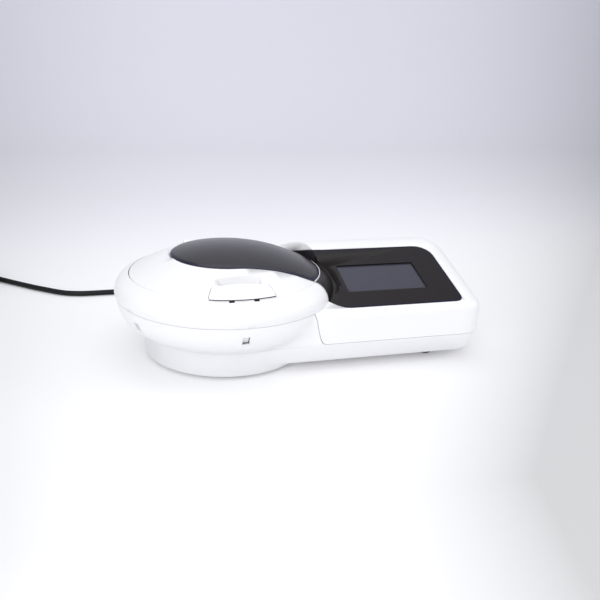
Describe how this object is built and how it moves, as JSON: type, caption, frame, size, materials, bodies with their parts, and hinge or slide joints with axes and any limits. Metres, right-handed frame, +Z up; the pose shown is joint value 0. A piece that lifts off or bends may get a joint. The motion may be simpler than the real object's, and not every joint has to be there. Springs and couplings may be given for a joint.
{
  "type": "western blotting system",
  "caption": "Blotting unit: a round well under a hinged, latched pressure lid beside a wedge-shaped console with a set-in screen, rear inlet, switch, fan and mains lead.",
  "frame": {"origin": "on the bench, under the middle of the body without its mains lead", "axes": "+X towards the console's right end, +Y towards the back with the inlet, +Z up"},
  "size_m": [0.6026, 0.4638, 0.1084],
  "materials": {
    "white_casing": "satin gloss, moulded",
    "black_panel": "satin gloss",
    "dark_gloss": "gloss",
    "screen_glass": "gloss cover over a dark screen",
    "dark_plastic": "matt",
    "black_plastic": "fine matt",
    "grey_plastic": "matt",
    "pad_foam": "soft closed foam",
    "foot_rubber": "matt",
    "cord_rubber": "satin",
    "board_green": "solder mask",
    "steel": "satin",
    "brushed_metal": "brushed",
    "dark_metal": "dark anodised",
    "brass": "satin"
  },
  "bodies": {
    "root": {"blotting_plate": "brushed_metal", "console_panel": "black_panel", "control_board": "board_green", "data_socket": "steel", "display_glass": "screen_glass", "display_module": "dark_plastic", "fan_housing": "black_plastic", "heat_sink": "dark_metal", "hinge_block": "white_casing", "hinge_pin": "steel", "housing_screw_1": "steel", "housing_screw_2": "steel", "housing_screw_3": "steel", "latch_catch_1": "steel", "latch_catch_2": "steel", "lead_connector": "cord_rubber", "lead_relief": "cord_rubber", "lead_tie": "cord_rubber", "lower_housing": "white_casing", "mains_inlet": "black_plastic", "mains_lead": "cord_rubber", "mains_lead_coil": "cord_rubber", "mains_plug": "cord_rubber", "plug_pin_1": "steel", "plug_pin_2": "steel", "plug_pin_3": "steel", "power_board": "board_green", "rubber_foot_1": "foot_rubber", "rubber_foot_2": "foot_rubber", "rubber_foot_3": "foot_rubber", "rubber_foot_4": "foot_rubber", "rubber_foot_5": "foot_rubber", "switch_frame": "black_plastic", "transformer": "dark_metal", "upper_housing": "white_casing", "well_contact_1": "brass", "well_contact_2": "brass", "well_tray": "grey_plastic"},
    "lid": {"lid_shell": "white_casing", "lid_inlay": "dark_gloss", "lid_liner": "grey_plastic", "latch_pin": "steel", "latch_spring": "steel", "liner_screw_1": "steel", "liner_screw_2": "steel", "liner_screw_3": "steel", "liner_screw_4": "steel", "pressure_spring_1": "steel", "pressure_spring_2": "steel", "pressure_spring_3": "steel", "pressure_spring_4": "steel", "lid_contact_1": "brass", "lid_contact_2": "brass"},
    "latch": {"latch_lever": "white_casing"},
    "pressure": {"pressure_plate": "grey_plastic", "pressure_pad": "pad_foam"},
    "rocker": {"power_rocker": "black_plastic"},
    "fan": {"fan_rotor": "black_plastic"}
  },
  "joints": [
    {"name": "lid_hinge", "type": "hinge", "parent": "root", "child": "lid", "pos_m": [-0.0702, 0.1, 0.084], "axis": [-1, 0, 0], "range_deg": [0, 95]},
    {"name": "latch_pivot", "type": "hinge", "parent": "lid", "child": "latch", "pos_m": [-0.0702, -0.0845, 0.0798], "axis": [1, 0, 0], "range_deg": [0, 14], "stiffness_Nm_per_rad": 0.05, "springref_deg": -11.46},
    {"name": "pressure_slide", "type": "slide", "parent": "lid", "child": "pressure", "axis": [0, 0, 1], "range_m": [0, 0.003], "stiffness_N_per_m": 3000, "springref_m": -0.002, "deforming": ["pressure_spring_1", "pressure_spring_2", "pressure_spring_3", "pressure_spring_4"]},
    {"name": "power_switch", "type": "hinge", "parent": "root", "child": "rocker", "pos_m": [0.103, 0.078, 0.042], "axis": [1, 0, 0], "range_deg": [0, 14]},
    {"name": "fan_spin", "type": "hinge", "parent": "root", "child": "fan", "pos_m": [0.0278, 0.0732, 0.0505], "axis": [0, 1, 0], "continuous": true}
  ]
}
